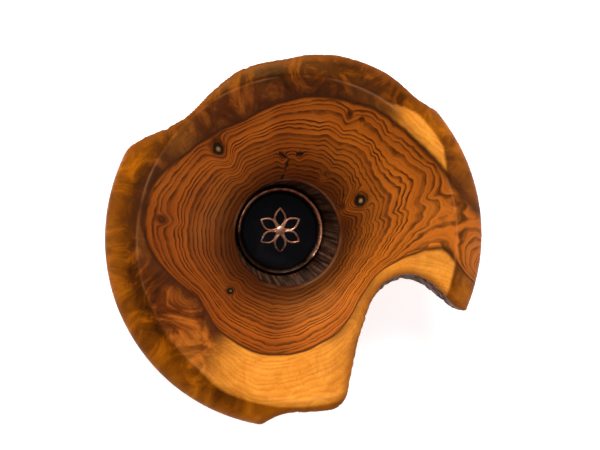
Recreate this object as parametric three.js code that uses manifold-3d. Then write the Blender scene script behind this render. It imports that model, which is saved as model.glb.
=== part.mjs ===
// A turned yarn bowl made from one live-edge slice of a log. Millimetres, +Z up.
// The origin is the centre of the base plane, on the turning axis.
import * as THREE from 'three';
import { mergeVertices } from 'three/addons/utils/BufferGeometryUtils.js';
import Module from 'manifold-3d';

const wasm = await Module();
wasm.setup();

// Driving dimensions of the turned shape.
const CREST_HEIGHT = 75;
const CREST_RADIUS = 69.9;
const GIRTH_HEIGHT = 69;
const GIRTH_RADIUS = 83;
const FOOT_TOP = 6;
const FOOT_TOP_RADIUS = 37;
const FOOT_RADIUS = 36;
const MOUTH_HEIGHT = 43;
const MOUTH_RADIUS = 24;
const MOUTH_ROUNDING = 0.8;
const WELL_FLOOR = 18;
const WELL_FLOOR_RADIUS = 21;
const HOLLOW_CURVE = 1.6;
const SHOULDER_INSET = 1;
const SHOULDER_DROP = 2.6;

// The cork pad sits in a recess in the foot and lifts the wood off the table.
const PAD_RADIUS = 32;
const PAD_THICKNESS = 2.4;
const PAD_PROUD = 0.8;
const PAD_EDGE = 0.4;
const RECESS_RADIUS = PAD_RADIUS + 0.3;

// The medallion stack stands on the floor of the well.
const GLUE_RADIUS = 17;
const GLUE_THICKNESS = 0.8;
const DISC_RADIUS = 18.5;
const DISC_THICKNESS = 2.4;
const DISC_EDGE = 0.5;
const BEZEL_INNER = 18.8;
const BEZEL_CREST = 19.8;
const BEZEL_OUTER = 20.4;
const BEZEL_HEIGHT = 4.6;
const BEZEL_LIP = 0.7;
const BEZEL_OVER_DISC = 0.2;
const ROSETTE_PETALS = 6;
const ROSETTE_RADIUS = 11;
const ROSETTE_BOSS = 2.4;
const ROSETTE_THICKNESS = 0.6;
const PETAL_HALF_WIDTH = 3.1;
const PETAL_LINE = 1.1;
const PETAL_TIP = 2;

// The log leaned as it grew, so its natural edges run down and outwards along this bearing.
const LEAN_BEARING = -40;
const LEAN_SLOPE = 0.27;
const CUT_MARGIN = 6;
const CUT_REACH = 118;

const LATHE_STEPS = 84;
const SMALL_LATHE_STEPS = 64;
const BOSS_STEPS = 24;
const WALL_STEPS = 10;
const BAND_STEPS = 6;
const HOLLOW_STEPS = 12;
const PETAL_STEPS = 10;
const EDGE_STEPS_PER_POINT = 3;

const onCircle = (degrees, radius) => {
  const angle = THREE.MathUtils.degToRad(degrees);
  return new THREE.Vector2(radius * Math.cos(angle), radius * Math.sin(angle));
};

// Turns a profile of [radius, height] points about +Z. It starts and ends on the axis or closes on itself.
function turned(profile, steps) {
  const points = profile.map(([radius, height]) => new THREE.Vector2(radius, height));
  const geometry = new THREE.LatheGeometry(points, steps);
  geometry.rotateX(Math.PI / 2);
  return geometry;
}

function toSolid(geometry) {
  const bare = geometry.clone();
  bare.deleteAttribute('normal');
  bare.deleteAttribute('uv');
  const merged = mergeVertices(bare, 1e-4);
  return new wasm.Manifold(new wasm.Mesh({
    numProp: 3,
    vertProperties: Float32Array.from(merged.attributes.position.array),
    triVerts: Uint32Array.from(merged.index.array),
  }));
}

function toGeometry(solid) {
  const mesh = solid.getMesh();
  const geometry = new THREE.BufferGeometry();
  geometry.setAttribute('position', new THREE.BufferAttribute(mesh.vertProperties, 3));
  geometry.setIndex(new THREE.BufferAttribute(mesh.triVerts, 1));
  geometry.computeVertexNormals();
  return geometry;
}

// Outside wall: a quarter ellipse from the top of the foot out to the girth.
function outerWall(steps) {
  const points = [];
  for (let i = 0; i <= steps; i += 1) {
    const turn = (Math.PI / 2) * (i / steps);
    const radius = FOOT_TOP_RADIUS + (GIRTH_RADIUS - FOOT_TOP_RADIUS) * Math.sin(turn);
    const height = GIRTH_HEIGHT - (GIRTH_HEIGHT - FOOT_TOP) * Math.cos(turn);
    points.push([radius, height]);
  }
  return points;
}

// Rim band: a convex slope from the girth up to the crest.
function rimBand(steps) {
  const shoulder = new THREE.Vector2(GIRTH_RADIUS - SHOULDER_INSET, CREST_HEIGHT - SHOULDER_DROP);
  const curve = new THREE.QuadraticBezierCurve(
    new THREE.Vector2(GIRTH_RADIUS, GIRTH_HEIGHT), shoulder, new THREE.Vector2(CREST_RADIUS, CREST_HEIGHT));
  return curve.getPoints(steps).slice(1).map((point) => [point.x, point.y]);
}

// Hollow: a dish that is steep under the crest and nearly flat at the mouth of the well.
function hollow(steps) {
  const points = [];
  for (let i = 1; i < steps; i += 1) {
    const share = 1 - i / steps;
    const radius = MOUTH_RADIUS + (CREST_RADIUS - MOUTH_RADIUS) * share;
    const height = MOUTH_HEIGHT + (CREST_HEIGHT - MOUTH_HEIGHT) * share ** HOLLOW_CURVE;
    points.push([radius, height]);
  }
  return points;
}

function bowlProfile() {
  return [
    [0, PAD_THICKNESS],
    [RECESS_RADIUS, PAD_THICKNESS],
    [RECESS_RADIUS, PAD_PROUD],
    [FOOT_RADIUS, PAD_PROUD],
    ...outerWall(WALL_STEPS),
    ...rimBand(BAND_STEPS),
    ...hollow(HOLLOW_STEPS),
    [MOUTH_RADIUS + MOUTH_ROUNDING, MOUTH_HEIGHT],
    [MOUTH_RADIUS, MOUTH_HEIGHT - MOUTH_ROUNDING],
    [WELL_FLOOR_RADIUS, WELL_FLOOR],
    [0, WELL_FLOOR],
  ];
}

// Where the log fell short of the turned circle, a smooth natural edge replaces it. Each cutter is the
// air beyond one such edge, from the edge's points at crest height out past the rim, leaning with the log.
function naturalEdgeCutter(edge) {
  const knots = edge.map((point) => new THREE.Vector3(point.x, point.y, 0));
  const curve = new THREE.CatmullRomCurve3(knots, false, 'centripetal');
  const shape = new THREE.Shape();
  curve.getPoints(edge.length * EDGE_STEPS_PER_POINT).forEach((point, i) => {
    if (i === 0) shape.moveTo(point.x, point.y);
    else shape.lineTo(point.x, point.y);
  });
  const start = edge[0];
  const end = edge[edge.length - 1];
  const middle = start.clone().add(end).setLength(CUT_REACH);
  for (const corner of [end.clone().setLength(CUT_REACH), middle, start.clone().setLength(CUT_REACH)]) {
    shape.lineTo(corner.x, corner.y);
  }
  const height = CREST_HEIGHT + 2 * CUT_MARGIN;
  const geometry = new THREE.ExtrudeGeometry(shape, { depth: height, bevelEnabled: false, steps: 1 });
  geometry.translate(0, 0, -CUT_MARGIN);
  const lean = onCircle(LEAN_BEARING, LEAN_SLOPE);
  const shear = new THREE.Matrix4().set(
    1, 0, -lean.x, lean.x * CREST_HEIGHT,
    0, 1, -lean.y, lean.y * CREST_HEIGHT,
    0, 0, 1, 0,
    0, 0, 0, 1);
  return geometry.applyMatrix4(shear);
}

// The yarn notch: in from the hook's point, round the arch, out along the lobe and across its natural end.
const yarnNotch = [
  [80, -37], [74, -33], [70, -31], [66, -27.5], [59.5, -20.5], [54, -16.5], [49, -15], [43.5, -15.5],
  [37.5, -19], [33, -24.5], [30.5, -30.5], [28.5, -36.5], [26, -43.5], [24, -52], [22, -62], [20, -70],
  [16, -74], [10, -75], [2, -75.5], [-6, -75.5], [-12, -77.5], [-18, -80.5], [-25, -84.5],
].map(([x, y]) => new THREE.Vector2(x, y));

// The far side, from the waist where the bark dipped in almost to the crest, round to a shallow dip
// above the hook. Each point is a bearing in degrees and a distance from the axis.
const farSide = [
  [158, 92], [154, 87.5], [150, 83.5], [146, 80], [142, 76.5], [138, 73.8], [134, 72.4], [129, 72.2],
  [123, 73.6], [117, 75.6], [111, 77.3], [104, 78], [98, 78.2], [90, 79.4], [84, 80.8], [78, 81.6],
  [70, 81.8], [63, 81.8], [57, 81.2], [52, 80.2], [47, 81], [43, 83], [39, 86],
].map(([degrees, radius]) => onCircle(degrees, radius));

function makeBowlBody() {
  let solid = toSolid(turned(bowlProfile(), LATHE_STEPS));
  for (const edge of [yarnNotch, farSide]) {
    solid = solid.subtract(toSolid(naturalEdgeCutter(edge)));
  }
  return toGeometry(solid);
}

function makeFootPad() {
  return turned([
    [0, 0],
    [PAD_RADIUS - PAD_EDGE, 0],
    [PAD_RADIUS, PAD_EDGE],
    [PAD_RADIUS, PAD_THICKNESS],
    [0, PAD_THICKNESS],
  ], SMALL_LATHE_STEPS);
}

function makeGluePad() {
  return turned([
    [0, 0],
    [GLUE_RADIUS, 0],
    [GLUE_RADIUS, GLUE_THICKNESS],
    [0, GLUE_THICKNESS],
  ], SMALL_LATHE_STEPS);
}

function makeMedallionDisc() {
  return turned([
    [0, 0],
    [DISC_RADIUS, 0],
    [DISC_RADIUS, DISC_THICKNESS - DISC_EDGE],
    [DISC_RADIUS - DISC_EDGE, DISC_THICKNESS],
    [0, DISC_THICKNESS],
  ], SMALL_LATHE_STEPS);
}

// The ring stands around the disc, and its inside slopes down to the disc's face.
function makeBezelRing() {
  const slopeFoot = GLUE_THICKNESS + DISC_THICKNESS + BEZEL_OVER_DISC;
  return turned([
    [BEZEL_INNER, 0],
    [BEZEL_OUTER, 0],
    [BEZEL_OUTER, BEZEL_HEIGHT - BEZEL_LIP],
    [BEZEL_CREST, BEZEL_HEIGHT],
    [BEZEL_INNER, slopeFoot],
    [BEZEL_INNER, 0],
  ], SMALL_LATHE_STEPS);
}

// One pointed petal along +X, from startX to endX, as two arcs that are inset from its full width.
function petalOutline(inset, startX, endX) {
  const length = endX - startX;
  const halfWidth = PETAL_HALF_WIDTH - inset;
  const points = [];
  for (const side of [-1, 1]) {
    for (let i = 0; i < PETAL_STEPS; i += 1) {
      const share = side < 0 ? i / PETAL_STEPS : 1 - i / PETAL_STEPS;
      points.push(new THREE.Vector2(startX + length * share, side * halfWidth * Math.sin(Math.PI * share)));
    }
  }
  return points;
}

// A petal's outline at its own bearing, as thick as the rosette.
function petalSolid(outline, bearing) {
  const centre = new THREE.Vector2();
  const shape = new THREE.Shape(outline.map((point) => point.clone().rotateAround(centre, bearing)));
  const settings = { depth: ROSETTE_THICKNESS, bevelEnabled: false, steps: 1 };
  return toSolid(new THREE.ExtrudeGeometry(shape, settings));
}

// A rosette of open petals that meet in a round boss, cut from one sheet.
function makeRosette() {
  const petal = petalOutline(0, 0, ROSETTE_RADIUS);
  const window = petalOutline(PETAL_LINE, ROSETTE_BOSS + PETAL_LINE, ROSETTE_RADIUS - PETAL_TIP);
  const bearings = [];
  for (let i = 0; i < ROSETTE_PETALS; i += 1) bearings.push((2 * Math.PI * i) / ROSETTE_PETALS + Math.PI / 2);
  let solid = toSolid(turned(
    [[0, 0], [ROSETTE_BOSS, 0], [ROSETTE_BOSS, ROSETTE_THICKNESS], [0, ROSETTE_THICKNESS]], BOSS_STEPS));
  for (const bearing of bearings) {
    solid = solid.add(petalSolid(petal, bearing));
  }
  for (const bearing of bearings) {
    solid = solid.subtract(petalSolid(window, bearing));
  }
  return toGeometry(solid);
}

const wood = new THREE.MeshStandardMaterial({ color: 0x8e4a1f, roughness: 0.42, metalness: 0 });
const cork = new THREE.MeshStandardMaterial({ color: 0xa57a4e, roughness: 0.9, metalness: 0 });
const glue = new THREE.MeshStandardMaterial({ color: 0x2a2522, roughness: 0.7, metalness: 0 });
const blackGloss = new THREE.MeshStandardMaterial({ color: 0x07080c, roughness: 0.15, metalness: 0 });
const copper = new THREE.MeshStandardMaterial({ color: 0xc07a58, roughness: 0.3, metalness: 1 });

const group = new THREE.Group();

function place(name, geometry, material, height) {
  const mesh = new THREE.Mesh(geometry, material);
  mesh.name = name;
  mesh.position.z = height;
  group.add(mesh);
}

place('bowl_body', makeBowlBody(), wood, 0);
place('foot_pad', makeFootPad(), cork, 0);
place('glue_pad', makeGluePad(), glue, WELL_FLOOR);
place('medallion_disc', makeMedallionDisc(), blackGloss, WELL_FLOOR + GLUE_THICKNESS);
place('bezel_ring', makeBezelRing(), copper, WELL_FLOOR);
place('rosette_inlay', makeRosette(), copper, WELL_FLOOR + GLUE_THICKNESS + DISC_THICKNESS);

export default group;
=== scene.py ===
"""A turned live-edge yarn bowl with its medallion and cork pad, built round the CAD frame."""
import math
from types import SimpleNamespace

import bmesh
import bpy
import numpy as np
from mathutils import Matrix, Vector


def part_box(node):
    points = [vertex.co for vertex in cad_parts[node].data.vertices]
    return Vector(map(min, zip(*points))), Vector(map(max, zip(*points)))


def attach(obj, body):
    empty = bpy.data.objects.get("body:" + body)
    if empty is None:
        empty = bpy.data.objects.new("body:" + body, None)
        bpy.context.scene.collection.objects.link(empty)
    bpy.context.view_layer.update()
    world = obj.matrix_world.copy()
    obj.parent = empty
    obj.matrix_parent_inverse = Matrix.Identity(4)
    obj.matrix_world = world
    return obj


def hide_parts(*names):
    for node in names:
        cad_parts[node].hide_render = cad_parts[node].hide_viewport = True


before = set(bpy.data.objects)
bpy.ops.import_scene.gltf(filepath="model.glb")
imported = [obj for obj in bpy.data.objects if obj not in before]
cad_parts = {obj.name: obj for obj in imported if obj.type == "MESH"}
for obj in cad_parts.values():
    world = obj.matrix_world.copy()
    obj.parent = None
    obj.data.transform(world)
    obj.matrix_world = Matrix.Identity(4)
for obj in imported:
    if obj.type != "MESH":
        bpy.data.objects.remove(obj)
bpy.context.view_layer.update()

MM = 0.001


def node_box(name):
    low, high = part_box(name)
    return np.array(low) / MM, np.array(high) / MM


# ---------------------------------------------------------------- sizes, in millimetres, from the frame
BODY_LOW, BODY_HIGH = node_box("bowl_body")
PAD_LOW, PAD_HIGH = node_box("foot_pad")
GLUE_LOW = node_box("glue_pad")[0]
DISC_LOW, DISC_HIGH = node_box("medallion_disc")
RING_LOW, RING_HIGH = node_box("bezel_ring")
ROSE_LOW, ROSE_HIGH = node_box("rosette_inlay")

CREST_Z = BODY_HIGH[2]
GIRTH_R = -BODY_LOW[0]
CREST_R = 0.842 * GIRTH_R
GIRTH_Z = CREST_Z - 6
PAD_R = PAD_HIGH[0]
FOOT_TOP_R = PAD_R + 5
FOOT_R = PAD_R + 4
FOOT_TOP_Z = 6
FOOT_Z = BODY_LOW[2]
FOOT_EDGE = 0.4
WELL_FLOOR_Z = GLUE_LOW[2]
WELL_FLOOR_R = RING_HIGH[0] + 0.6
WELL_DEPTH = 25
MOUTH_R = WELL_FLOOR_R + 3
MOUTH_Z = WELL_FLOOR_Z + WELL_DEPTH
MOUTH_EDGE = 0.5
HOLLOW_CURVE = 1.6
SHOULDER_INSET = 1
SHOULDER_DROP = 2.6
RECESS_R = PAD_R + 0.3
RECESS_EDGE_OUT = 0.3
RECESS_EDGE_UP = 0.2
BAND_CURVE = 2.2
BODY_STEPS = 48
SHOULDER_STEPS = 24
HOLLOW_STEPS = 56
BOWL_SIDES = 256

LEAN_BEARING = math.radians(-40)
LEAN_SLOPE = 0.27
LEAN = LEAN_SLOPE * np.array([math.cos(LEAN_BEARING), math.sin(LEAN_BEARING)])
CUT_REACH = 118
CUT_MARGIN = 6
VOXEL = 1.0

# The natural edges of the log at crest height, as in the CAD model.
YARN_NOTCH = np.array([
    [80, -37], [74, -33], [70, -31], [66, -27.5], [59.5, -20.5], [54, -16.5], [49, -15], [43.5, -15.5],
    [37.5, -19], [33, -24.5], [30.5, -30.5], [28.5, -36.5], [26, -43.5], [24, -52], [22, -62], [20, -70],
    [16, -74], [10, -75], [2, -75.5], [-6, -75.5], [-12, -77.5], [-18, -80.5], [-25, -84.5],
], float)
FAR_SIDE = [
    # bearing and distance
    [158, 92], [154, 87.5], [150, 83.5], [146, 80], [142, 76.5], [138, 73.8], [134, 72.4], [129, 72.2],
    [123, 73.6], [117, 75.6], [111, 77.3], [104, 78], [98, 78.2], [90, 79.4], [84, 80.8], [78, 81.6],
    [70, 81.8], [63, 81.8], [57, 81.2], [52, 80.2], [47, 81], [43, 83], [39, 86],
]

# How far out from the pith the heartwood reaches, as a share of the way to the log's edge, by bearing.
HEART_SHARE = [
    (-180, 0.90), (-173, 0.90), (-168, 0.85), (-164, 0.72), (-160, 0.60), (-152, 0.50), (-145, 0.54),
    (-137, 0.60), (-127, 0.62), (-118, 0.665), (-108, 0.71), (-94, 0.73), (-80, 0.75), (-66, 0.78),
    (-52, 0.84), (-38, 0.80), (-24, 0.76), (-18, 0.84), (-13, 1.12), (-10, 1.32), (-6, 1.28), (0, 1.06),
    (6, 1.02), (12, 1.00), (18, 0.98), (24, 0.92), (36, 0.88), (48, 0.83), (62, 0.85), (78, 0.81),
    (95, 0.765), (115, 0.72), (124, 0.72), (130, 0.78), (145, 0.82), (155, 0.87), (180, 0.88),
]


def polar(points):
    angle = np.radians([p[0] for p in points])
    radius = np.array([p[1] for p in points], float)
    return np.stack([radius * np.cos(angle), radius * np.sin(angle)], axis=1)


def smooth_curve(points, per_span):
    """A centripetal Catmull-Rom curve through the points."""
    ends = [2 * points[0] - points[1], *points, 2 * points[-1] - points[-2]]
    out = []
    for a, b, c, d in zip(ends, ends[1:], ends[2:], ends[3:]):
        t0 = 0.0
        t1 = t0 + np.linalg.norm(b - a) ** 0.5
        t2 = t1 + np.linalg.norm(c - b) ** 0.5
        t3 = t2 + np.linalg.norm(d - c) ** 0.5
        for t in np.linspace(t1, t2, per_span, endpoint=False):
            ab = (t1 - t) / (t1 - t0) * a + (t - t0) / (t1 - t0) * b
            bc = (t2 - t) / (t2 - t1) * b + (t - t1) / (t2 - t1) * c
            cd = (t3 - t) / (t3 - t2) * c + (t - t2) / (t3 - t2) * d
            abc = (t2 - t) / (t2 - t0) * ab + (t - t0) / (t2 - t0) * bc
            bcd = (t3 - t) / (t3 - t1) * bc + (t - t1) / (t3 - t1) * cd
            out.append((t2 - t) / (t2 - t1) * abc + (t - t1) / (t2 - t1) * bcd)
    out.append(points[-1])
    return np.array(out)


NATURAL_EDGES = [smooth_curve(points, 8) for points in (YARN_NOTCH, polar(FAR_SIDE))]


# ---------------------------------------------------------------- mesh helpers
def new_object(name, mesh):
    piece = bpy.data.objects.new(name, mesh)
    bpy.context.scene.collection.objects.link(piece)
    return piece


def mesh_object(name, points_mm, faces, smooth=True):
    mesh = bpy.data.meshes.new(name)
    mesh.from_pydata([tuple(MM * c for c in p) for p in points_mm], [], faces)
    mesh.validate()
    for face in mesh.polygons:
        face.use_smooth = smooth
    return new_object(name, mesh)


def lathe(name, profile, steps, closed=False):
    """Turns [radius, height] points about the axis. Points on the axis are shared."""
    points, rows = [], []
    for radius, height in profile:
        if radius < 1e-6:
            rows.append([len(points)] * steps)
            points.append((0, 0, height))
            continue
        rows.append(list(range(len(points), len(points) + steps)))
        for i in range(steps):
            angle = 2 * math.pi * i / steps
            points.append((radius * math.cos(angle), radius * math.sin(angle), height))
    faces = []
    pairs = list(zip(rows, rows[1:] + rows[:1])) if closed else list(zip(rows, rows[1:]))
    for low, high in pairs:
        for i in range(steps):
            j = (i + 1) % steps
            face = []
            for corner in (low[i], low[j], high[j], high[i]):
                if corner not in face:
                    face.append(corner)
            if len(face) > 2:
                faces.append(face)
    return mesh_object(name, points, faces)


def apply_modifiers(piece):
    graph = bpy.context.evaluated_depsgraph_get()
    mesh = bpy.data.meshes.new_from_object(piece.evaluated_get(graph))
    piece.modifiers.clear()
    old = piece.data
    piece.data = mesh
    bpy.data.meshes.remove(old)


def points_of(mesh):
    found = np.empty(len(mesh.vertices) * 3)
    mesh.vertices.foreach_get("co", found)
    return found.reshape(-1, 3) / MM


def normals_of(mesh):
    found = np.empty(len(mesh.vertices) * 3)
    mesh.vertices.foreach_get("normal", found)
    return found.reshape(-1, 3)


def set_points(mesh, points_mm):
    mesh.vertices.foreach_set("co", (points_mm * MM).ravel())
    mesh.update()


def store(mesh, name, values):
    kind = "FLOAT_VECTOR" if values.ndim == 2 else "FLOAT"
    layer = mesh.attributes.new(name, kind, "POINT")
    layer.data.foreach_set("vector" if values.ndim == 2 else "value", values.astype(np.float32).ravel())


# ---------------------------------------------------------------- smooth noise on arrays
HASH_STEPS = (73856093, 19349663, 83492791, 2654435761)
HASH_MIX = 1274126177

# Each kind of unevenness has its own pattern.
FURROW_SEED = 11
LUMP_SEED = 23
FLAKE_SEED = 31
TOOL_SEED = 5
WARP_SEEDS = (41, 57)
CLOUD_SEED = 71
RAGGED_SEEDS = (83, 97)
DENT_SEED = 91


def lattice_noise(points, seed):
    """Value noise in -1..1 at 3-D points, smooth, the same on every run."""
    cell = np.floor(points).astype(np.int64)
    part = points - cell
    ease = part * part * (3 - 2 * part)
    total = np.zeros(len(points))
    for corner in range(8):
        step = np.array([corner & 1, (corner >> 1) & 1, (corner >> 2) & 1])
        key = cell + step
        mixed = np.full(len(points), seed * HASH_STEPS[3], np.int64)
        for axis in range(3):
            mixed = mixed ^ (key[:, axis] * HASH_STEPS[axis])
        mixed = (mixed ^ (mixed >> 13)) * HASH_MIX
        value = ((mixed ^ (mixed >> 16)) & 0xFFFF) / 32767.5 - 1
        weight = np.prod(np.where(step == 1, ease, 1 - ease), axis=1)
        total += weight * value
    return total


def layered_noise(points, seed, layers=3):
    total, size, reach = 0, 1.0, 0.0
    for k in range(layers):
        total = total + size * lattice_noise(points * 2.0 ** k, seed + k)
        reach += size
        size *= 0.5
    return total / reach


def ramp(x, low, high):
    t = np.clip((x - low) / (high - low), 0, 1)
    return t * t * (3 - 2 * t)


# ---------------------------------------------------------------- the log's own coordinates and rings
def log_plane(points):
    """Where each point lies in the log's cross-section at crest height, following the log's lean."""
    return points[:, :2] - LEAN * (CREST_Z - points[:, 2:3])


def inside(polygon, places):
    found = np.zeros(len(places), bool)
    for a, b in zip(polygon, np.roll(polygon, -1, axis=0)):
        crosses = (a[1] > places[:, 1]) != (b[1] > places[:, 1])
        rise = b[1] - a[1] if b[1] != a[1] else 1e-9
        found ^= crosses & (places[:, 0] < (b[0] - a[0]) * (places[:, 1] - a[1]) / rise + a[0])
    return found


def cutter_outline(edge):
    corners = []
    for point in (edge[-1], edge[0] + edge[-1], edge[0]):
        corners.append(point / np.linalg.norm(point) * CUT_REACH)
    return np.vstack([edge, corners])


PLACE_SCALE = 0.01
PITH = np.array([-6.0, 5.0])
FIELD_HALF = 120.0
FIELD_CELLS = 161
FIELD_ROUNDS = 5000
FIRST_GUESS = 0.8


def heart_share(places):
    bearing = np.degrees(np.arctan2(places[:, 1], places[:, 0]))
    return np.interp(bearing, [b for b, _ in HEART_SHARE], [s for _, s in HEART_SHARE])


def solve_ring_field():
    """The growth rings as level curves. log(ring) is harmonic with a source at the pith, and on the log's
    edge it has the value that puts the heartwood's rim, ring 1, at its share of the way out."""
    side = np.linspace(-FIELD_HALF, FIELD_HALF, FIELD_CELLS)
    x, y = np.meshgrid(side, side, indexing="ij")
    places = np.stack([x.ravel(), y.ravel()], axis=1)
    from_axis = np.linalg.norm(places, axis=1)
    fixed = from_axis > GIRTH_R
    for edge in NATURAL_EDGES:
        fixed |= inside(cutter_outline(edge), places)
    at_edge = places * np.minimum(1, GIRTH_R / np.maximum(from_axis, 1))[:, None]
    edge_at = np.linalg.norm(at_edge - PITH, axis=1)
    value = -np.log(heart_share(places)) - np.log(np.maximum(edge_at, 1))
    value = np.where(fixed, value, -np.log(FIRST_GUESS * GIRTH_R)).reshape(x.shape)
    free = ~fixed.reshape(x.shape)
    for _ in range(FIELD_ROUNDS):
        mean = np.zeros_like(value)
        mean[1:-1, 1:-1] = 0.25 * (value[2:, 1:-1] + value[:-2, 1:-1] + value[1:-1, 2:] + value[1:-1, :-2])
        value = np.where(free, mean, value)
    return value


def sample_field(field, places):
    at = (places + FIELD_HALF) / (2 * FIELD_HALF) * (FIELD_CELLS - 1)
    at = np.clip(at, 0, FIELD_CELLS - 1.001)
    cell = at.astype(int)
    part = at - cell
    i, j = cell[:, 0], cell[:, 1]
    a, b = part[:, 0], part[:, 1]
    return (field[i, j] * (1 - a) * (1 - b) + field[i + 1, j] * a * (1 - b)
            + field[i, j + 1] * (1 - a) * b + field[i + 1, j + 1] * a * b)


def ring_at(field, places):
    return np.exp(sample_field(field, places)) * np.linalg.norm(places - PITH, axis=1)


def edge_distance(places):
    """Distance in the log's plane to the nearest natural edge."""
    best = np.full(len(places), 1e9)
    for edge in NATURAL_EDGES:
        for a, b in zip(edge, edge[1:]):
            along = b - a
            share = np.clip((places - a) @ along / (along @ along), 0, 1)
            best = np.minimum(best, np.linalg.norm(places - a - share[:, None] * along, axis=1))
    return best


# ---------------------------------------------------------------- the fine bowl
def hollow_height(share):
    """Height of the dish at a share of the way from the well's mouth to the crest."""
    return MOUTH_Z + (CREST_Z - MOUTH_Z) * share ** HOLLOW_CURVE


def bowl_profile():
    """Radius and height all the way round: recess, foot, body, shoulder, crest, hollow and well."""
    points = [[0, PAD_HIGH[2]], [RECESS_R, PAD_HIGH[2]]]
    points += [[RECESS_R, FOOT_Z + RECESS_EDGE_UP], [RECESS_R + RECESS_EDGE_OUT, FOOT_Z]]
    points += [[FOOT_R - FOOT_EDGE, FOOT_Z], [FOOT_R, FOOT_Z + FOOT_EDGE]]
    for turn in np.linspace(0, math.pi / 2, BODY_STEPS):
        points.append([FOOT_TOP_R + (GIRTH_R - FOOT_TOP_R) * math.sin(turn),
                       GIRTH_Z - (GIRTH_Z - FOOT_TOP_Z) * math.cos(turn)])
    girth = np.array([GIRTH_R, GIRTH_Z])
    shoulder = np.array([GIRTH_R - SHOULDER_INSET, CREST_Z - SHOULDER_DROP])
    crest = np.array([CREST_R, CREST_Z])
    for t in np.linspace(0, 1, SHOULDER_STEPS)[1:]:
        points.append((1 - t) ** 2 * girth + 2 * t * (1 - t) * shoulder + t * t * crest)
    for share in np.linspace(1, 0, HOLLOW_STEPS)[1:-1]:
        points.append([MOUTH_R + (CREST_R - MOUTH_R) * share, hollow_height(share)])
    points += [[MOUTH_R + MOUTH_EDGE, MOUTH_Z], [MOUTH_R, MOUTH_Z - MOUTH_EDGE]]
    points += [[WELL_FLOOR_R, WELL_FLOOR_Z], [0, WELL_FLOOR_Z]]
    return points


def natural_cutter(edge, i):
    outline = cutter_outline(edge)
    count = len(outline)
    points = []
    for height in (-CUT_MARGIN, CREST_Z + CUT_MARGIN):
        shift = LEAN * (CREST_Z - height)
        points += [(p[0] + shift[0], p[1] + shift[1], height) for p in outline]
    faces = [list(range(count))[::-1], list(range(count, 2 * count))]
    faces += [[k, (k + 1) % count, count + (k + 1) % count, count + k] for k in range(count)]
    cutter = mesh_object(f"cutter_{i}", points, faces, smooth=False)
    tidy = bmesh.new()
    tidy.from_mesh(cutter.data)
    bmesh.ops.recalc_face_normals(tidy, faces=tidy.faces)
    tidy.to_mesh(cutter.data)
    tidy.free()
    return cutter


def make_bowl(field):
    """The turned body with the natural edges cut off, remeshed evenly so that it can carry relief."""
    bowl = lathe("wood_bowl", bowl_profile(), BOWL_SIDES)
    cutters = [natural_cutter(edge, i) for i, edge in enumerate(NATURAL_EDGES)]
    for cutter in cutters:
        cut = bowl.modifiers.new("cut", "BOOLEAN")
        cut.operation = "DIFFERENCE"
        cut.object = cutter
        cut.solver = "EXACT"
    apply_modifiers(bowl)
    for cutter in cutters:
        bpy.data.objects.remove(cutter)
    remesh = bowl.modifiers.new("even", "REMESH")
    remesh.mode = "VOXEL"
    remesh.voxel_size = VOXEL * MM
    remesh.use_smooth_shade = True
    relax = bowl.modifiers.new("relax", "SMOOTH")
    relax.factor = 0.5
    relax.iterations = 3
    apply_modifiers(bowl)
    shape_surface(bowl.data)
    paint_wood(bowl.data, field)
    return bowl


KNOTS = [
    # x and y in the log's plane, radius, push on the rings, depth of the pit, lightness of the knot's heart
    (-37.0, 42.0, 2.4, 0.120, 0.9, 0.9),
    (27.0, 20.0, 2.8, 0.150, 1.2, 0.9),
    (-32.5, -20.0, 1.5, 0.060, 0.7, 0.4),
    (-60.5, 10.5, 1.5, 0.050, 0.3, 0.0),
    (21.5, 55.5, 1.2, 0.030, 0.3, 0.0),
    (27.0, 53.5, 0.9, -0.030, 0.2, 0.0),
    (-9.0, 40.5, 1.0, 0.050, 0.3, 0.0),
    (-1.0, 41.0, 0.9, 0.040, 0.3, 0.0),
    (10.5, 32.0, 0.9, 0.090, 0.2, 0.0),
    (18.5, 18.0, 1.0, -0.080, 0.0, 0.0),
]

SWELLINGS = [
    # x and y in the log's plane, radius, and how far it pushes the rings
    (-47.0, -24.0, 11.0, 0.085),
    (-26.0, 56.0, 8.0, 0.022),
]

CRACKS = [
    # two ends in the log's plane, and the half width
    ((-6.0, 39.5), (-9.5, 30.0), 0.22),
    ((-10.0, 41.5), (-7.0, 39.5), 0.35),
    ((-2.5, 41.0), (0.5, 41.5), 0.30),
    ((12.5, -8.0), (8.5, -2.5), 0.20),
    ((-19.5, -14.5), (-14.0, -17.5), 0.55),
]

# Bearing, and how far the pale sapwood runs out past the crest.
PALE_STRIP = [(-130, 0), (-118, 3), (-70, 3), (-60, 0), (22, 0), (32, 5), (46, 5), (58, 0)]

STAIN_BY_BEARING = [
    # bearing, stain of the sapwood inside the crest, stain of the rim band
    (-180, 0.90, 0.75), (-150, 0.95, 0.70), (-131, 0.95, 0.65), (-122, 0.15, 0.45), (-112, 0.00, 0.25),
    (-90, 0.00, 0.15), (-76, 0.02, 0.15), (-62, 0.40, 0.25), (-46, 0.45, 0.30), (-30, 0.35, 0.40),
    (-18, 0.02, 0.45), (8, 0.25, 0.60), (25, 0.05, 0.45), (48, 0.05, 0.45), (56, 0.60, 0.95),
    (75, 1.00, 1.00), (100, 1.00, 0.95), (120, 1.00, 0.50), (135, 0.90, 0.65), (150, 0.90, 0.55),
    (180, 0.90, 0.75),
]

# The rim band starts at the crest, and its colour fades out with a ragged edge between two heights.
BAND_EDGE = (-0.6, 0.9)
BAND_FADE = (24, 50)
BAND_RAGGED = 14
CREST_STAIN = 0.3
STAIN_CLOUD = 0.35
RING_WARP = 1.2
CRACK_WANDER = 0.7

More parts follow.
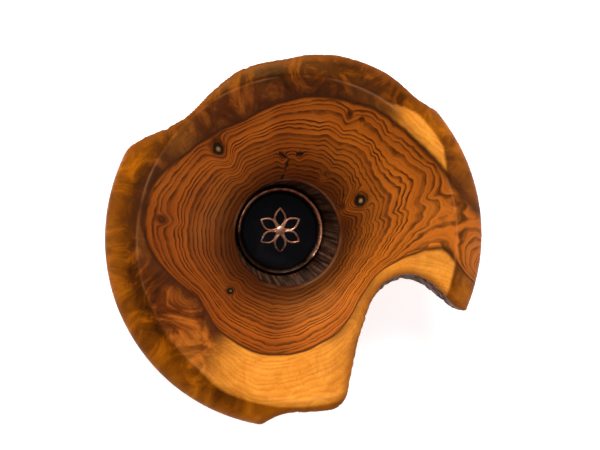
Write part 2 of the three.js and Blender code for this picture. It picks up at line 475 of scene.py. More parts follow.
# A knot pushes the rings far on the side of the pith and little on the other side.
KNOT_TAIL = 5.5
KNOT_NOSE = 1.1
KNOT_BREADTH = 1.6
PIT_CORE = 0.75

FURROW_WIDTH = 0.11
FURROW_DEPTH = 1.1
LUMP_DEPTH = 0.5
FLAKE_DEPTH = 0.3
BARK_INSET = 0.25
TOOL_DEPTH = 0.12


def bark_furrows(places, heights):
    """1 in the bottom of the bark's furrows and 0 on its ridges, which follow the log."""
    meander = layered_noise(np.column_stack([places * 0.16, heights * 0.045]), FURROW_SEED, 4)
    return 1 - ramp(np.abs(meander), 0.0, FURROW_WIDTH)


def shape_surface(mesh):
    """Bark relief on the natural edges, a small pit at each knot, and the turner's slight unevenness."""
    points, normals = points_of(mesh), normals_of(mesh)
    places = log_plane(points)
    wall = (1 - ramp(edge_distance(places), 0.5, 1.3)) * (points[:, 2] < CREST_Z - 1)
    lumps = layered_noise(np.column_stack([places * 0.12, points[:, 2] * 0.05]), LUMP_SEED)
    flakes = layered_noise(np.column_stack([places * 0.7, points[:, 2] * 0.25]), FLAKE_SEED, 2)
    below = ramp(-surface_height(points), -1.0, 4.0)
    relief = LUMP_DEPTH * lumps + FLAKE_DEPTH * flakes - FURROW_DEPTH * bark_furrows(places, points[:, 2])
    depth = wall * below * (relief - BARK_INSET)
    on_top = normals[:, 2] > 0.3
    for x, y, radius, _, pit, _ in KNOTS:
        away = np.linalg.norm(places - [x, y], axis=1)
        dip = np.exp(-(away / radius) ** 2)
        core = PIT_CORE * np.exp(-(away / (0.5 * radius)) ** 2)
        depth -= on_top * pit * (dip - core)
    depth += TOOL_DEPTH * layered_noise(points * 0.045, TOOL_SEED, 2)
    set_points(mesh, points + normals * depth[:, None])


def surface_height(points):
    """How far above the turned top surface each point is, roughly. Negative below it."""
    out = np.linalg.norm(points[:, :2], axis=1)
    share = np.clip((out - MOUTH_R) / (CREST_R - MOUTH_R), 0, 1)
    dish = hollow_height(share)
    past_crest = np.clip((out - CREST_R) / (GIRTH_R - CREST_R), 0, 1)
    band = CREST_Z - (CREST_Z - GIRTH_Z) * past_crest ** BAND_CURVE
    return points[:, 2] - np.where(out < CREST_R, dish, band)


def two_noises(points, seeds, layers=3):
    """An offset in the log's plane for each point, from one noise for each of its two directions."""
    return np.stack([layered_noise(points, seed, layers) for seed in seeds], axis=1)


def rings_with_knots(field, points, places):
    """Which growth ring each point is in, with the rings pushed aside by the knots and swellings."""
    warp = two_noises(np.column_stack([places * 0.05, points[:, 2] * 0.012]), WARP_SEEDS)
    ring = ring_at(field, places + RING_WARP * warp)
    for x, y, radius, push, _, _ in KNOTS:
        knot = np.array([x, y])
        inward = (PITH - knot) / np.linalg.norm(PITH - knot)
        away = places - knot
        along = away @ inward
        across = away @ [-inward[1], inward[0]]
        tail = np.where(along > 0, KNOT_TAIL, KNOT_NOSE) * radius
        ring += push * np.exp(-((along / tail) ** 2) - (across / (KNOT_BREADTH * radius)) ** 2)
    for x, y, radius, push in SWELLINGS:
        ring += push * np.exp(-(np.linalg.norm(places - [x, y], axis=1) / radius) ** 2)
    return ring


def crack_share(points, places):
    """1 in the middle of a crack, and 0 from its half width and one voxel away."""
    found = np.zeros(len(points))
    ragged = places + CRACK_WANDER * two_noises(points * 0.7, RAGGED_SEEDS, 2)
    for first, last, half_width in CRACKS:
        start = np.array(first)
        span = np.array(last) - start
        along = np.clip((ragged - start) @ span / (span @ span), 0, 1)
        off = np.linalg.norm(ragged - start - along[:, None] * span, axis=1)
        found = np.maximum(found, np.clip(1 - off / (half_width + VOXEL), 0, 1))
    return found


def paint_wood(mesh, field):
    """Stores what the wood's material reads: place in the log, ring, stain, bark and cracks."""
    points = points_of(mesh)
    places = log_plane(points)
    out = np.linalg.norm(points[:, :2], axis=1)
    bearing = np.degrees(np.arctan2(points[:, 1], points[:, 0]))
    pale = np.interp(bearing, *zip(*PALE_STRIP))
    from_crest = out - CREST_R - pale
    cloud = layered_noise(np.column_stack([points[:, :2] * 0.06, points[:, 2] * 0.03]), CLOUD_SEED, 4)
    upper = ramp(points[:, 2] + BAND_RAGGED * cloud, *BAND_FADE)
    band = ramp(from_crest, *BAND_EDGE) * upper
    store(mesh, "log_place", np.column_stack([places, points[:, 2]]) * PLACE_SCALE)
    store(mesh, "ring", rings_with_knots(field, points, places))
    store(mesh, "pale", pale)
    store(mesh, "upper", upper)
    beside_crest = band * (1 - ramp(from_crest, 1.0, 9.0))
    store(mesh, "stain", stain(bearing, band, cloud) + CREST_STAIN * beside_crest)
    store(mesh, "crack", crack_share(points, places))
    to_edge = edge_distance(places)
    # Painted shade along the rounded natural edges, within a few millimetres of them.
    store(mesh, "brim", 1 - ramp(to_edge, 0.8, 4.5))
    store(mesh, "furrow", bark_furrows(places, points[:, 2]))
    store(mesh, "bark", (1 - ramp(to_edge, 2.4, 3.2)) * ramp(-surface_height(points), 1.0, 3.0))


def stain(bearing, band, cloud):
    """How far the sapwood is stained, 0 to 1, by bearing and on which side of the crest, with clouds."""
    bearings = [row[0] for row in STAIN_BY_BEARING]
    inner = np.interp(bearing, bearings, [row[1] for row in STAIN_BY_BEARING])
    outer = np.interp(bearing, bearings, [row[2] for row in STAIN_BY_BEARING])
    return np.clip(inner + (outer - inner) * band + STAIN_CLOUD * cloud, 0, 1)


# ---------------------------------------------------------------- material helpers
def srgb(r, g, b):
    """Display values 0..255 to the linear colour that Blender wants."""
    linear = []
    for value in (r / 255, g / 255, b / 255):
        linear.append(value / 12.92 if value <= 0.04 else ((value + 0.055) / 1.055) ** 2.4)
    return (*linear, 1.0)


class Material:
    """A node material and the few kinds of node that the looks need."""

    def __init__(self, name):
        self.material = bpy.data.materials.new(name)
        self.material.use_nodes = True
        self.tree = self.material.node_tree
        self.shader = self.tree.nodes["Principled BSDF"]

    def node(self, kind, **settings):
        made = self.tree.nodes.new(kind)
        for key, value in settings.items():
            setattr(made, key, value)
        return made

    def feed(self, socket, value):
        if isinstance(value, bpy.types.NodeSocket):
            self.tree.links.new(value, socket)
        else:
            socket.default_value = value

    def math(self, operation, a, b=0.0, c=0.0):
        made = self.node("ShaderNodeMath", operation=operation)
        for socket, value in zip(made.inputs, (a, b, c)):
            self.feed(socket, value)
        return made.outputs[0]

    def vector(self, operation, a, b=(0, 0, 0)):
        made = self.node("ShaderNodeVectorMath", operation=operation)
        self.feed(made.inputs[0], a)
        self.feed(made.inputs[1], b)
        return made.outputs["Value" if operation in ("LENGTH", "DISTANCE", "DOT_PRODUCT") else "Vector"]

    def attribute(self, name, vector=False):
        made = self.node("ShaderNodeAttribute", attribute_name=name)
        return made.outputs["Vector" if vector else "Fac"]

    def noise(self, vector, scale, detail=3.0, roughness=0.55, distortion=0.0):
        made = self.node("ShaderNodeTexNoise")
        self.feed(made.inputs["Vector"], vector)
        made.inputs["Scale"].default_value = scale
        made.inputs["Detail"].default_value = detail
        made.inputs["Roughness"].default_value = roughness
        made.inputs["Distortion"].default_value = distortion
        return made.outputs["Fac"]

    def line_noise(self, value, scale, detail=2.0):
        made = self.node("ShaderNodeTexNoise", noise_dimensions="1D")
        self.feed(made.inputs["W"], value)
        made.inputs["Scale"].default_value = scale
        made.inputs["Detail"].default_value = detail
        return made.outputs["Fac"]

    def remap(self, value, low, high, to_low=0.0, to_high=1.0):
        made = self.node("ShaderNodeMapRange", interpolation_type="SMOOTHSTEP")
        for socket, item in zip(made.inputs, (value, low, high, to_low, to_high)):
            self.feed(socket, item)
        return made.outputs["Result"]

    def ramp(self, value, stops):
        made = self.node("ShaderNodeValToRGB")
        self.feed(made.inputs["Fac"], value)
        bands = made.color_ramp.elements
        for i, (place, colour) in enumerate(stops):
            if i < 2:
                bands[i].position = place
            stop = bands[i] if i < 2 else bands.new(place)
            stop.color = colour
        return made.outputs["Color"]

    def mix(self, share, a, b, blend="MIX"):
        made = self.node("ShaderNodeMix", data_type="RGBA", blend_type=blend)
        self.feed(made.inputs[0], share)
        self.feed(made.inputs[6], a)
        self.feed(made.inputs[7], b)
        return made.outputs[2]

    def bump(self, height, strength, distance, normal=None):
        made = self.node("ShaderNodeBump")
        made.inputs["Strength"].default_value = strength
        made.inputs["Distance"].default_value = distance
        self.feed(made.inputs["Height"], height)
        if normal is not None:
            self.feed(made.inputs["Normal"], normal)
        return made.outputs["Normal"]

    def finish(self, colour=None, roughness=None, normal=None, **fixed):
        for socket, value in (("Base Color", colour), ("Roughness", roughness), ("Normal", normal)):
            if value is not None:
                self.feed(self.shader.inputs[socket], value)
        for name, value in fixed.items():
            self.shader.inputs[name.replace("_", " ")].default_value = value
        return self.material


def object_place(m):
    return m.node("ShaderNodeTexCoord").outputs["Object"]


# ---------------------------------------------------------------- wood
RINGS = 32.0
HEART_RIM = 0.990
DARK_LINE = srgb(34, 10, 2)
DARK_INNER_LINE = srgb(24, 8, 2)
KNOT_RIM = srgb(16, 10, 8)
KNOT_HEART = srgb(178, 132, 78)
CRACK = srgb(12, 7, 5)
# The colour of the painted shade along the natural edges.
EDGE_SHADE = srgb(118, 58, 12)


BOTH_WAYS = (1, 1, 0)
# The direction of the lit side of the hollow, used for the painted light and shade and for the rings'
# zigzag.
LIT_SIDE = (0.94, 0.34, 0)
FIBRE_STRETCH = (1, 1, 0.12)


def near_edge(m, out, height, edge_out, edge_height):
    """1 on a turned edge and 0 from about a millimetre away."""
    across = m.math("ABSOLUTE", m.math("SUBTRACT", out, edge_out))
    down = m.math("ABSOLUTE", m.math("SUBTRACT", height, edge_height))
    return m.remap(m.math("ADD", across, m.math("MULTIPLY", down, 0.5)), 0.1, 1.1, 1.0, 0.0)


def wood_inputs(m):
    """What the bowl's mesh carries, the turned parts it falls in, and its place in the log."""
    w = SimpleNamespace()
    w.place = m.attribute("log_place", vector=True)
    for name in ("ring", "stain", "pale", "upper", "bark", "brim", "furrow", "crack"):
        setattr(w, name, m.attribute(name))
    place = m.vector("DIVIDE", object_place(m), (MM, MM, MM))
    out = m.vector("LENGTH", m.vector("MULTIPLY", place, BOTH_WAYS))
    height = m.vector("DOT_PRODUCT", place, (0, 0, 1))
    from_crest = m.math("SUBTRACT", m.math("SUBTRACT", out, CREST_R), w.pale)
    w.band = m.math("MULTIPLY", m.remap(from_crest, *BAND_EDGE), w.upper)
    w.well = m.remap(out, MOUTH_R - 0.6, MOUTH_R + 0.2, 1.0, 0.0)
    # Where the painted highlight goes: the turned edges at the well's mouth and at the crest.
    w.polished = m.math("MAXIMUM", near_edge(m, out, height, MOUTH_R + 0.2, MOUTH_Z),
                        near_edge(m, out, height, CREST_R, CREST_Z))
    w.flat = m.vector("MULTIPLY", w.place, BOTH_WAYS)
    w.column = m.vector("MULTIPLY", w.place, FIBRE_STRETCH)
    w.bearing = m.vector("NORMALIZE", w.flat)
    w.lee = m.vector("DOT_PRODUCT", w.bearing, LIT_SIDE)
    return w


def swing(m, noise, size):
    """Noise centred on nothing, and of a given size."""
    return m.math("MULTIPLY", m.math("SUBTRACT", noise, 0.5), size)


def ring_lines(m, w):
    """Growth rings: w.line is the dark late wood, w.fine the faint rings between, w.tone a ring's tone."""
    slow = swing(m, m.noise(w.column, 3.0, 1.0), 0.10)
    quick = swing(m, m.noise(w.column, 10.0, 2.0), 0.045)
    wander = m.math("ADD", slow, quick)
    zigzag_size = m.remap(w.lee, 0.30, 0.95, 0.015, 0.085)
    zigzag = swing(m, m.noise(w.bearing, 7.5, 1.0), zigzag_size)
    wavered = m.math("ADD", w.ring, m.math("ADD", wander, zigzag))
    drift = m.math("MULTIPLY", m.line_noise(wavered, 9.0), 2.2)
    count = m.math("ADD", m.math("MULTIPLY", wavered, RINGS), drift)
    phase = m.math("FRACT", count)
    own = m.node("ShaderNodeTexWhiteNoise", noise_dimensions="1D")
    m.feed(own.inputs["W"], m.math("FLOOR", count))
    w.tone = own.outputs["Value"]
    profile = m.math("MULTIPLY", m.remap(phase, 0.26, 0.84), m.remap(phase, 0.88, 1.0, 1.0, 0.0))
    patchy = m.remap(m.noise(w.column, 16.0, 3.0), 0.35, 0.62, 0.55, 1.0)
    w.line = m.math("MULTIPLY", profile, m.math("MULTIPLY", patchy, m.remap(w.tone, 0, 1, 1.0, 0.70)))
    fine_phase = m.math("FRACT", m.math("MULTIPLY", count, 3.0))
    w.fine = m.math("MULTIPLY", m.remap(fine_phase, 0.3, 1.0), 0.30)


def heart_colour(m, w):
    """Red-brown, with painted shade that darkens it towards the deep centre and on the side away from the
    light, and painted light that turns it golden on the lit side.
    """
    mottle = m.noise(w.column, 2.6, 4.0)
    light = m.ramp(mottle, [
        (0.3, srgb(158, 74, 15)),
        (0.7, srgb(231, 123, 35)),
        (0.5, srgb(197, 96, 22)),
    ])
    # Painted light: the heartwood turns golden on the side of the hollow that faces the light.
    light = m.mix(m.remap(w.lee, 0.2, 1.0, 0.0, 0.50), light, srgb(206, 110, 22))
    light = m.mix(m.math("MULTIPLY", w.tone, 0.45), light, srgb(112, 48, 14))
    light = m.mix(w.fine, light, srgb(96, 40, 12))
    # Painted shade: the heartwood darkens on the side of the hollow away from the light.
    light = m.mix(m.remap(w.lee, -1.0, -0.3, 0.36, 0.0), light, srgb(88, 36, 10))
    # Painted shade: the wood darkens towards the deep centre of the hollow round the well.
    light = m.mix(m.remap(w.ring, 0.40, 0.90, 0.96, 0.0), light, srgb(58, 19, 6))
    line = m.mix(m.remap(w.ring, 0.34, 0.80, 1.0, 0.0), DARK_LINE, DARK_INNER_LINE)
    return m.mix(w.line, light, line)


def sap_colour(m, w):
    """Gold where clean, chestnut with a curly figure where stained, browner outside the crest."""
    mottle = m.noise(w.column, 6.0, 6.0, 0.66, 1.8)
    clean = m.ramp(mottle, [(0.3, srgb(212, 124, 34)), (0.7, srgb(240, 156, 56))])
    clean = m.mix(m.math("MULTIPLY", w.line, 0.50), clean, srgb(190, 102, 22))
    stained = m.ramp(mottle, [
        (0.34, srgb(48, 18, 4)),
        (0.64, srgb(176, 92, 26)),
        (0.5, srgb(102, 45, 9)),
    ])
    inner = m.mix(w.stain, clean, stained)
    rim_clean = m.ramp(mottle, [(0.32, srgb(150, 72, 0)), (0.68, srgb(214, 120, 8))])
    rim_stained = m.ramp(mottle, [
        (0.32, srgb(34, 12, 1)),
        (0.68, srgb(146, 72, 4)),
        (0.5, srgb(74, 31, 1)),
    ])
    return m.mix(w.band, inner, m.mix(w.stain, rim_clean, rim_stained))


def heart_and_sap(m, w):
    """Heartwood up to its rim and sapwood outside it, with a dark line between that stains the sapwood."""
    edge = m.math("ADD", w.ring, swing(m, m.noise(w.place, 6.0, 3.0), 0.03))
    wood = m.mix(m.remap(edge, HEART_RIM, 1.0), heart_colour(m, w), sap_colour(m, w))
    from_line = m.math("ABSOLUTE", m.math("SUBTRACT", edge, HEART_RIM))
    wood = m.mix(m.remap(from_line, 0.0, 0.018, 0.85, 0.0), wood, srgb(46, 18, 6))
    shade = m.math("MULTIPLY", m.remap(edge, HEART_RIM, 1.12, 0.75, 0.0), m.remap(edge, 0.985, 0.995))
    return m.mix(m.math("MULTIPLY", shade, w.stain), wood, srgb(60, 27, 14))


def knots_and_cracks(m, w, wood):
    """Each knot darkens the wood round it, and the sound ones have a dark rim and a pale heart."""
    for x, y, radius, _, _, light in KNOTS:
        centre = (x * PLACE_SCALE, y * PLACE_SCALE, 0)
        away = m.math("DIVIDE", m.vector("DISTANCE", w.flat, centre), radius * PLACE_SCALE)
        away = m.math("ADD", away, swing(m, m.noise(w.place, 24.0, 2.0), 0.9))
        wood = m.mix(m.remap(away, 0.6, 2.1, 0.80, 0.0), wood, srgb(50, 20, 8))
        if light:
            wood = m.mix(m.remap(away, 0.8, 1.15, 1.0, 0.0), wood, KNOT_RIM)
            wood = m.mix(m.remap(away, 0.10, 0.55, light, 0.0), wood, KNOT_HEART)
    ragged = m.math("ADD", w.crack, swing(m, m.noise(w.place, 34.0, 3.0), 0.7))
    return m.mix(m.remap(ragged, 0.45, 0.7, 0.0, 0.95), wood, CRACK)


def well_colour(m, w):
    """The wall of the well, coloured dark as painted shade in the recess, with streaks where the fibres run
    down.
    """
    place = object_place(m)
    around = m.vector("NORMALIZE", m.vector("MULTIPLY", place, BOTH_WAYS))
    down = m.vector("ADD", around, m.vector("MULTIPLY", place, (0, 0, 1.6)))
    streaks = m.noise(down, 17.0, 4.0, 0.65)
    wall = m.ramp(streaks, [
        (0.36, srgb(18, 10, 7)),
        (0.64, srgb(118, 84, 62)),
        (0.5, srgb(66, 42, 30)),
    ])
    return m.mix(m.math("MULTIPLY", w.line, 0.5), wall, srgb(18, 9, 5))


def bark_colour(m, w):
    """Grey-purple flaky ridges with brown patches, and dark furrows."""
    flakes = m.noise(m.vector("MULTIPLY", w.place, (1, 1, 0.4)), 42.0, 6.0, 0.62)
    ridge = m.ramp(flakes, [
        (0.36, srgb(70, 48, 43)),
        (0.66, srgb(160, 126, 112)),
        (0.5, srgb(112, 82, 75)),
    ])
    patches = m.remap(m.noise(w.column, 5.0, 3.0), 0.5, 0.62, 0.0, 0.5)
    ridge = m.mix(patches, ridge, srgb(94, 56, 34))
    return m.mix(m.math("MULTIPLY", w.furrow, 0.85), ridge, srgb(36, 23, 20))


def wood_material():
    """Oiled wood with open pores, the well's wall coloured dark as painted shade, a painted highlight on
    the turned edges and the bark laid over it in turn.
    """
    m = Material("oiled_wood")
    w = wood_inputs(m)
    ring_lines(m, w)
    wood = knots_and_cracks(m, w, heart_and_sap(m, w))
    fibres = m.noise(m.vector("MULTIPLY", w.place, (1, 1, 0.04)), 130.0, 2.0)
    wood = m.mix(m.remap(fibres, 0.56, 0.72, 0.0, 0.22), wood, srgb(70, 30, 10))
    # Painted shade: a browner strip along the rounded natural edges.
    wood = m.mix(m.math("MULTIPLY", w.brim, 0.65), wood, EDGE_SHADE)
    # Painted shade: the whole wall of the well is coloured dark, as shade in the recess.
    wood = m.mix(w.well, wood, well_colour(m, w))
    # Painted highlight: a thin pale line along the mouth's edge and the crest, broken up by noise.
    wear_and_highlight = m.math("MULTIPLY", w.polished, m.remap(m.noise(w.column, 5.0, 2.0), 0.42, 0.66, 0.0, 0.18))
    wood = m.mix(wear_and_highlight, wood, srgb(220, 158, 108))
    wood = m.mix(w.bark, wood, bark_colour(m, w))
    flaky = m.math("MULTIPLY", m.noise(w.place, 60.0, 5.0, 0.65), m.math("MULTIPLY", w.bark, 3.0))
    height = m.math("SUBTRACT", m.math("MULTIPLY", fibres, 0.4), m.math("MULTIPLY", w.line, 0.5))
    height = m.math("ADD", height, flaky)
    normal = m.bump(height, 0.25, 0.0002)
    sheen = m.remap(m.noise(w.column, 7.0, 3.0), 0.3, 0.7, 0.36, 0.52)
    return m.finish(wood, m.math("ADD", sheen, m.math("MULTIPLY", w.bark, 0.4)), normal,
                    Specular_IOR_Level=0.22, Specular_Tint=(1.0, 0.50, 0.14, 1.0))


# ---------------------------------------------------------------- cork, glue, black, copper
def cork_material():
    m = Material("cork")
    place = object_place(m)
    grain = m.node("ShaderNodeTexVoronoi")
    m.feed(grain.inputs["Vector"], place)
    grain.inputs["Scale"].default_value = 620.0
    tone = m.ramp(grain.outputs["Color"], [
        (0.1, srgb(128, 88, 50)),
        (0.9, srgb(196, 150, 100)),
        (0.5, srgb(166, 120, 74)),
    ])
    specks = m.remap(m.noise(place, 900.0, 3.0), 0.62, 0.7)
    colour = m.mix(specks, tone, srgb(70, 42, 24))
    normal = m.bump(m.noise(place, 700.0, 4.0), 0.6, 0.0004)
    return m.finish(colour, m.remap(specks, 0, 1, 0.82, 0.95), normal)


def glue_material():
    m = Material("adhesive_foam")
    place = object_place(m)
    cells = m.noise(place, 1500.0, 3.0)
    colour = m.ramp(cells, [(0.3, srgb(30, 27, 26)), (0.7, srgb(62, 56, 52))])
    return m.finish(colour, m.remap(cells, 0.3, 0.7, 0.65, 0.85), m.bump(cells, 0.5, 0.0003))


def black_material():
    m = Material("black_gloss")
    place = object_place(m)
    dust = m.noise(place, 2400.0, 2.0)
    smear = m.noise(place, 90.0, 4.0, 0.6, 0.6)
    colour = m.ramp(smear, [(0.3, srgb(2, 2, 4)), (0.75, srgb(9, 10, 15))])
    rough = m.remap(smear, 0.25, 0.8, 0.16, 0.34)
    return m.finish(colour, rough, m.bump(dust, 0.08, 0.00005), Specular_IOR_Level=0.30, Coat_Weight=0.15,
                    Coat_Roughness=0.12)


# The side of the ring that the light falls on.
COPPER_LIT_SIDE = (0.35, 0.94)


def copper_material():
    """Tarnished copper, with painted shade that turns it near black on the side away from the light, and
    bright on the lit side.
    """
    m = Material("copper")
    place = object_place(m)
    tarnish = m.noise(place, 260.0, 5.0, 0.65)
    wear_and_highlight = m.noise(place, 1400.0, 3.0)
    colour = m.ramp(tarnish, [
        (0.32, srgb(150, 84, 58)),
        (0.68, srgb(252, 206, 178)),
        (0.5, srgb(226, 152, 116)),
    ])
    towards_lit = (COPPER_LIT_SIDE[0] / RING_HIGH[0] / MM, COPPER_LIT_SIDE[1] / RING_HIGH[0] / MM, 0)
    lit_side_along = m.vector("DOT_PRODUCT", place, towards_lit)
    # Painted shade: the side of the ring away from the light turns near black, with a ragged edge from the
    # tarnish.
    shade_side = m.remap(m.math("ADD", lit_side_along, swing(m, tarnish, 0.8)), -0.55, 0.15, 0.94, 0.0)
    colour = m.mix(shade_side, colour, srgb(16, 12, 12))
    rough = m.math("ADD", m.remap(tarnish, 0.3, 0.75, 0.50, 0.32), m.math("MULTIPLY", shade_side, 0.2))
    return m.finish(colour, rough, m.bump(wear_and_highlight, 0.35, 0.00012), Metallic=1.0)


# ---------------------------------------------------------------- the medallion and pad
MOST_OF_A_SIDE = 0.45


def rounded(corners, radius, steps):
    """Rounds every corner of a closed outline, using less than half of each side."""
    found = []
    corners = [np.array(corner, float) for corner in corners]
    for i, here in enumerate(corners):
        before = corners[i - 1] - here
        after = corners[(i + 1) % len(corners)] - here
        before_length = np.linalg.norm(before)
        after_length = np.linalg.norm(after)
        start = here + before / before_length * min(radius, before_length * MOST_OF_A_SIDE)
        end = here + after / after_length * min(radius, after_length * MOST_OF_A_SIDE)
        for t in np.linspace(0, 1, steps):
            found.append((1 - t) ** 2 * start + 2 * t * (1 - t) * here + t * t * end)
    return found


DISC_CHAMFER = 0.2
DISC_SHOULDER = 0.9
DISC_ROUND = (0.7, 0.75)
DISC_DOME = 0.12
DISC_SIDES = 192


def make_disc():
    """A slightly domed disc with a rounded top edge."""
    top, low, radius = DISC_HIGH[2], DISC_LOW[2], DISC_HIGH[0]
    shoulder = top - DISC_SHOULDER
    points = [(0, low), (radius - DISC_CHAMFER, low), (radius, low + DISC_CHAMFER), (radius, shoulder)]
    for turn in np.linspace(0.15, 1, 8):
        angle = turn * math.pi / 2
        inwards = DISC_ROUND[0] * (1 - math.cos(angle))
        points.append((radius - inwards, shoulder + DISC_ROUND[1] * math.sin(angle)))
    for share in np.linspace(0.96, 0, 16):
        points.append((radius * share, top - DISC_DOME * (share ** 2)))
    return lathe("black_medallion", points, DISC_SIDES)


RING_WALL = 1.9
RING_CHAMFER = 0.7
RING_INNER_HEIGHT = 3.4
RING_ROUND = 0.8
RING_SIDES = 256
DENT_DEPTH = 0.05
DENT_DEPTH_MORE = 0.16


def make_ring():
    """A copper ring with a sloping top, more dented on one side."""
    low, high = RING_LOW[2], RING_HIGH[2]
    outer = RING_HIGH[0]
    inner = outer - RING_WALL
    corners = [(inner, low), (outer, low), (outer, high - RING_CHAMFER), (outer - RING_CHAMFER, high),
               (inner, low + RING_INNER_HEIGHT)]
    ring = lathe("copper_ring", rounded(corners, RING_ROUND, 8), RING_SIDES, closed=True)
    points = points_of(ring.data)
    normals = normals_of(ring.data)
    dents = layered_noise(points * 0.9, DENT_SEED, 3)
    side = ramp(points[:, 0] / outer, -0.1, 0.9)
    set_points(ring.data, points + normals * (dents * (DENT_DEPTH + DENT_DEPTH_MORE * side))[:, None])
    return ring


PETALS = 6
PETAL_HALF_WIDTH = 3.1
PETAL_LINE = 1.1
PETAL_STEPS = 24
WIRE_R = PETAL_LINE / 2
BOSS_R = 2.4
BOSS_RISE = 1.4
BOSS_SIDES = 48


def add_petal(curve, turn, start, end, height):
    """One petal's outline, out along one side and back along the other, turned about the centre."""
    spline = curve.splines.new("POLY")
    spline.points.add(2 * PETAL_STEPS - 1)
    spline.use_cyclic_u = True
    for i in range(2 * PETAL_STEPS):
        share = i / PETAL_STEPS if i < PETAL_STEPS else 2 - i / PETAL_STEPS
        side = -1 if i < PETAL_STEPS else 1
        x = start + (end - start) * share
        y = side * (PETAL_HALF_WIDTH - WIRE_R) * math.sin(math.pi * share)
        across = x * math.cos(turn) - y * math.sin(turn)
        up = x * math.sin(turn) + y * math.cos(turn)
        spline.points[i].co = (MM * across, MM * up, MM * height, 1)


def make_boss(low, high):
    """The dome in the middle of the rosette."""
    rise = BOSS_RISE * (high - low)
    dome = [(BOSS_R * math.cos(angle), low + rise * math.sin(angle))
            for angle in np.linspace(0, math.pi / 2 - 0.02, 10)]
    return lathe("boss", [(0, low - 0.1), *dome, (0, low + rise)], BOSS_SIDES)


def make_rosette():
    """Petal outlines as rounded wires that meet in a domed boss."""
    low, high = ROSE_LOW[2], ROSE_HIGH[2]
    curve = bpy.data.curves.new("rosette", "CURVE")
    curve.dimensions = "3D"
    curve.bevel_depth = WIRE_R * MM
    curve.bevel_resolution = 4
    for k in range(PETALS):
        turn = 2 * math.pi * k / PETALS + math.pi / 2
        add_petal(curve, turn, BOSS_R * 0.6, ROSE_HIGH[1] - WIRE_R, low)
    wires = bpy.data.objects.new("rosette_wires", curve)
    bpy.context.scene.collection.objects.link(wires)
    graph = bpy.context.evaluated_depsgraph_get()
    mesh = bpy.data.meshes.new_from_object(wires.evaluated_get(graph))
    bpy.data.objects.remove(wires)
    rosette = new_object("copper_rosette", mesh)
    boss = make_boss(low, high)
    join = rosette.modifiers.new("boss", "BOOLEAN")
    join.operation = "UNION"
    join.object = boss
    join.solver = "EXACT"
    join.use_self = True
    apply_modifiers(rosette)
    bpy.data.objects.remove(boss)
    points = points_of(rosette.data)
    points[:, 2] = np.maximum(points[:, 2], low)
    set_points(rosette.data, points)
    for face in rosette.data.polygons:
        face.use_smooth = True
    return rosette


PAD_ROUND = 0.6
PAD_SIDES = 160


def make_pad():
    """A cork disc whose lower edge is rounded."""
    inner = PAD_R - PAD_ROUND
    points = [(0, PAD_LOW[2]), (inner, PAD_LOW[2])]
    for angle in np.linspace(0.2, math.pi / 2, 5):
        points.append((inner + PAD_ROUND * math.sin(angle), PAD_LOW[2] + PAD_ROUND * (1 - math.cos(angle))))
    points += [(PAD_R, PAD_HIGH[2]), (0, PAD_HIGH[2])]
    return lathe("cork_pad", points, PAD_SIDES)


def fit(piece, node, material):
    """Puts a finished piece in a CAD node's place."""
    piece.data.materials.clear()
    piece.data.materials.append(material)
    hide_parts(node)
    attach(piece, "root")


ring_field = solve_ring_field()
copper = copper_material()
fit(make_bowl(ring_field), "bowl_body", wood_material())
fit(make_pad(), "foot_pad", cork_material())
fit(make_disc(), "medallion_disc", black_material())
fit(make_ring(), "bezel_ring", copper)
fit(make_rosette(), "rosette_inlay", copper)
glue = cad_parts["glue_pad"]
glue.data.materials.clear()
glue.data.materials.append(glue_material())


# ---------------------------------------------------------------- floor, light and camera
FLOOR_HALF = 1.6


def stage_floor():
    """White paper that glows a little, so that it stays white in every view."""
    mesh = bpy.data.meshes.new("floor")
    corners = [(x * FLOOR_HALF, y * FLOOR_HALF, 0) for x, y in ((-1, -1), (1, -1), (1, 1), (-1, 1))]
    mesh.from_pydata(corners, [], [(0, 1, 2, 3)])
    floor = new_object("floor", mesh)
    m = Material("white_paper")
    place = object_place(m)
    tone = m.ramp(m.noise(place, 3.0, 2.0), [(0.3, srgb(246, 245, 245)), (0.7, srgb(250, 249, 249))])
    paper = m.finish(tone, 0.85, Emission_Color=(1, 0.985, 0.98, 1), Emission_Strength=0.62)
    floor.data.materials.append(paper)


LIGHT_TARGET = (0, 0, 0.04)
SOFTBOXES = [
    # name, place, size, power
    ("key", (-0.15, 0.75, 0.85), 0.7, 13),
    ("fill_left", (-0.9, -0.1, 0.55), 0.6, 2.5),
    ("fill_right", (0.9, -0.2, 0.6), 0.6, 2.5),
]
SKY_TOP = 0.85
SKY_FOOT = 0.15
SKY_POWER = 0.75


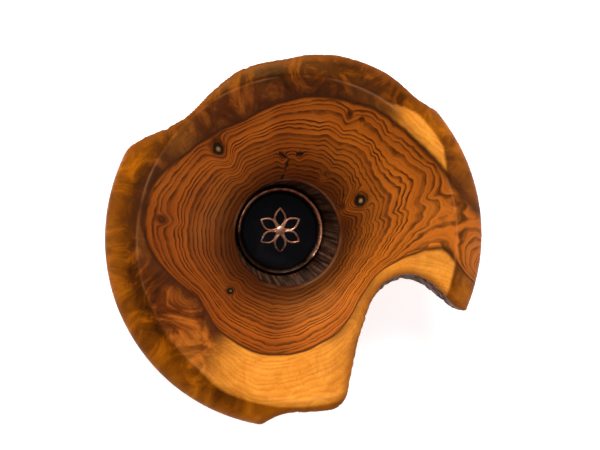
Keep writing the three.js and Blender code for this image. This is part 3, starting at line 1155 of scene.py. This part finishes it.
def softbox(name, place, size, power):
    """A round lamp that looks at the bowl."""
    light = bpy.data.lights.new(name, "AREA")
    light.shape = "DISK"
    light.size = size
    light.energy = power
    lamp = bpy.data.objects.new(name, light)
    lamp.location = place
    lamp.rotation_euler = (Vector(LIGHT_TARGET) - Vector(place)).to_track_quat("-Z", "Y").to_euler()
    bpy.context.scene.collection.objects.link(lamp)


CAMERA_TILT = math.radians(10.9)
CAMERA_BEARING = math.radians(158.5)
CAMERA_DISTANCE = 0.62
CAMERA_TARGET = Vector((0.0025, 0.0052, 0.06))
VIEW_WIDTH = 0.264
SENSOR_WIDTH = 36


def stage_camera():
    """Nearly straight above, tilted and turned as in the photograph."""
    away = Vector((math.sin(CAMERA_TILT) * math.cos(CAMERA_BEARING),
                   math.sin(CAMERA_TILT) * math.sin(CAMERA_BEARING), math.cos(CAMERA_TILT)))
    data = bpy.data.cameras.new("camera")
    data.sensor_width = SENSOR_WIDTH
    data.lens = SENSOR_WIDTH * CAMERA_DISTANCE / VIEW_WIDTH
    data.clip_start = 0.01
    camera = bpy.data.objects.new("camera", data)
    camera.location = CAMERA_TARGET + away * CAMERA_DISTANCE
    right = Vector((0, 1, 0)).cross(away).normalized()
    up = away.cross(right)
    camera.rotation_euler = Matrix((right, up, away)).transposed().to_euler()
    bpy.context.scene.collection.objects.link(camera)
    bpy.context.scene.camera = camera


def stage_light():
    """A white dome that darkens upwards, and the softboxes."""
    world = bpy.data.worlds.new("studio")
    world.use_nodes = True
    tree = world.node_tree
    place = tree.nodes.new("ShaderNodeTexCoord")
    parts = tree.nodes.new("ShaderNodeSeparateXYZ")
    sky = tree.nodes.new("ShaderNodeValToRGB")
    tree.links.new(place.outputs["Generated"], parts.inputs[0])
    tree.links.new(parts.outputs["Z"], sky.inputs["Fac"])
    tree.links.new(sky.outputs["Color"], tree.nodes["Background"].inputs["Color"])
    foot, top = sky.color_ramp.elements
    foot.position = SKY_FOOT
    foot.color = (1, 1, 1, 1)
    top.position = SKY_TOP
    top.color = (0.10, 0.10, 0.11, 1)
    tree.nodes["Background"].inputs["Strength"].default_value = SKY_POWER
    bpy.context.scene.world = world
    for name, place, size, power in SOFTBOXES:
        softbox(name, place, size, power)
    bpy.context.scene.view_settings.view_transform = "Standard"


stage_floor()
stage_light()
stage_camera()
